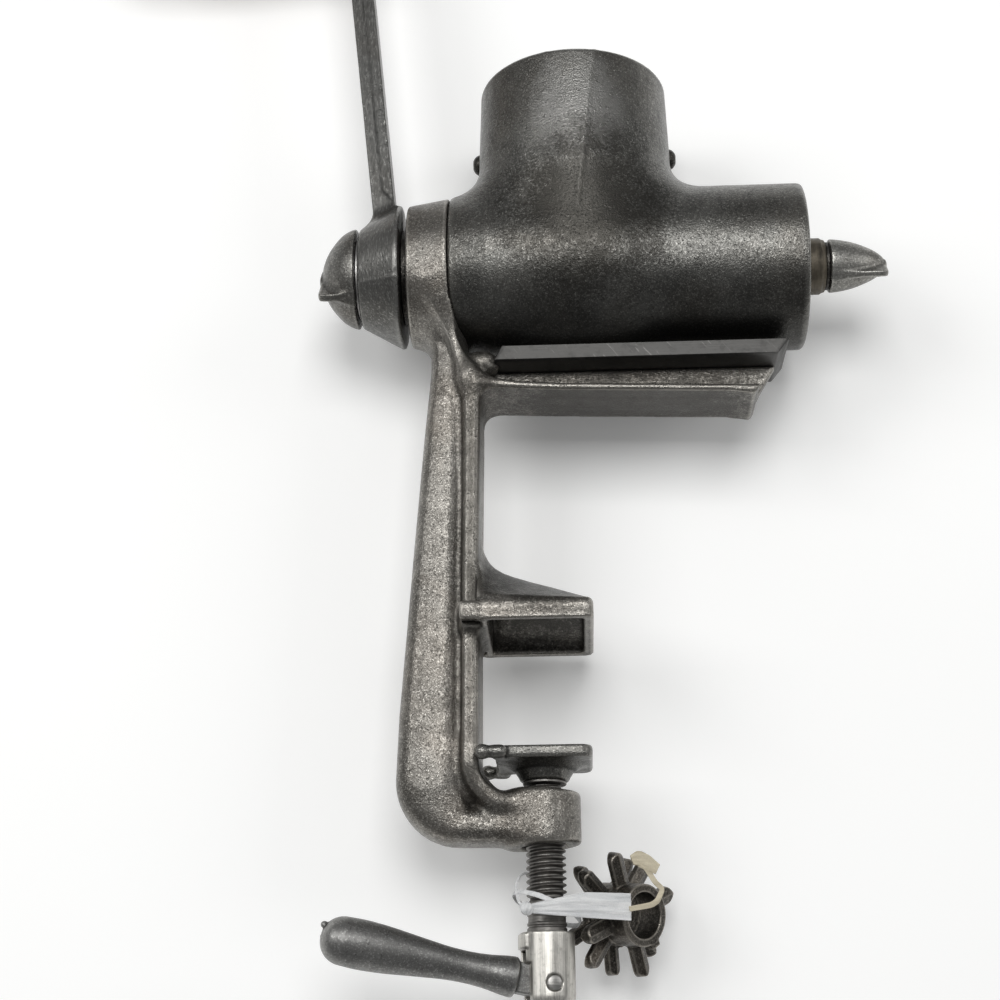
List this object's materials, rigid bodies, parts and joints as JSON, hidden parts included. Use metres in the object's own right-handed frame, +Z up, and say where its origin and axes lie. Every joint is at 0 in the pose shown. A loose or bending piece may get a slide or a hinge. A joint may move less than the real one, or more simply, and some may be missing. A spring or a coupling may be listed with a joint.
{
  "type": "meat grinder",
  "caption": "Clamp-on hand meat grinder: cast hopper and barrel on a C-clamp stand, crank with wooden grip, feed screw, and loose cutters tied to the clamp screw.",
  "frame": {"origin": "middle of the rear rim of the upper clamp jaw, on the face that rests on the table top, next to the leg", "axes": "+Z up along the clamp screw towards the hopper, +X from the leg towards the barrel's mouth, so the crank is at -X; the X-Z plane is the middle plane"},
  "size_m": [0.2828, 0.0688, 0.4261],
  "materials": {
    "tinned_iron": "worn old tinning over grey cast iron, satin, bright on edges",
    "dark_iron": "dark bare iron, satin",
    "bright_steel": "turned bright steel with fine tool marks",
    "bronze": "dull browned bronze",
    "grip_wood": "turned hardwood, worn oil finish",
    "white_tie": "soft white tying band, lightly creased",
    "cream_tag": "cream cloth tape"
  },
  "bodies": {
    "stand": {"frame_stand": "tinned_iron", "upper_jaw": "tinned_iron", "hopper_barrel": "tinned_iron", "rear_bush": "bronze", "front_bush": "bronze"},
    "rotor": {"feed_screw": "tinned_iron", "thrust_washer": "dark_iron", "crank": "tinned_iron", "crank_washer": "bright_steel", "grip_pin": "bright_steel", "grip_washers": "bright_steel", "front_washer": "dark_iron"},
    "crank_nut": {"crank_nut": "tinned_iron"},
    "front_nut": {"front_wing_nut": "tinned_iron"},
    "grip": {"crank_grip": "grip_wood"},
    "pad": {"clamp_pad": "tinned_iron"},
    "clamp_screw": {"clamp_screw": "bright_steel", "pad_washer": "bright_steel", "clamp_sleeve": "bright_steel", "sleeve_pin": "bright_steel"},
    "lever": {"lever_handle": "dark_iron"},
    "cutters": {"cutter_coarse": "dark_iron", "cutter_medium": "dark_iron", "cutter_fine": "dark_iron", "tie_strap": "white_tie", "tie_tag": "cream_tag"}
  },
  "joints": [
    {"name": "crank_turn", "type": "hinge", "parent": "stand", "child": "rotor", "pos_m": [0, 0, 0.1324], "axis": [1, 0, 0], "continuous": true},
    {"name": "grip_spin", "type": "hinge", "parent": "rotor", "child": "grip", "pos_m": [-0.0487, 0, 0.2924], "axis": [1, 0, 0], "continuous": true},
    {"name": "crank_nut_off", "type": "slide", "parent": "rotor", "child": "crank_nut", "axis": [-1, 0, 0], "range_m": [0, 0.016]},
    {"name": "front_nut_off", "type": "slide", "parent": "rotor", "child": "front_nut", "axis": [1, 0, 0], "range_m": [0, 0.018]},
    {"name": "clamp_travel", "type": "slide", "parent": "stand", "child": "pad", "axis": [0, 0, 1], "range_m": [0, 0.01693]},
    {"name": "clamp_turn", "type": "hinge", "parent": "pad", "child": "clamp_screw", "pos_m": [0.0187, 0, -0.08], "axis": [0, 0, 1], "range_deg": [0, 2881]},
    {"name": "bundle_slip", "type": "slide", "parent": "clamp_screw", "child": "cutters", "axis": [0, 0, 1], "range_m": [-0.01694, 0]},
    {"name": "lever_fold", "type": "hinge", "parent": "clamp_screw", "child": "lever", "pos_m": [0.0187, 0, -0.1106], "axis": [-0.2588, 0.9659, 0], "range_deg": [-101, 0]}
  ],
  "couplings": [
    {"joint": "clamp_turn", "follows": "clamp_travel", "rad_per_m": 2968.4},
    {"joint": "bundle_slip", "follows": "clamp_travel", "ratio": -1}
  ]
}
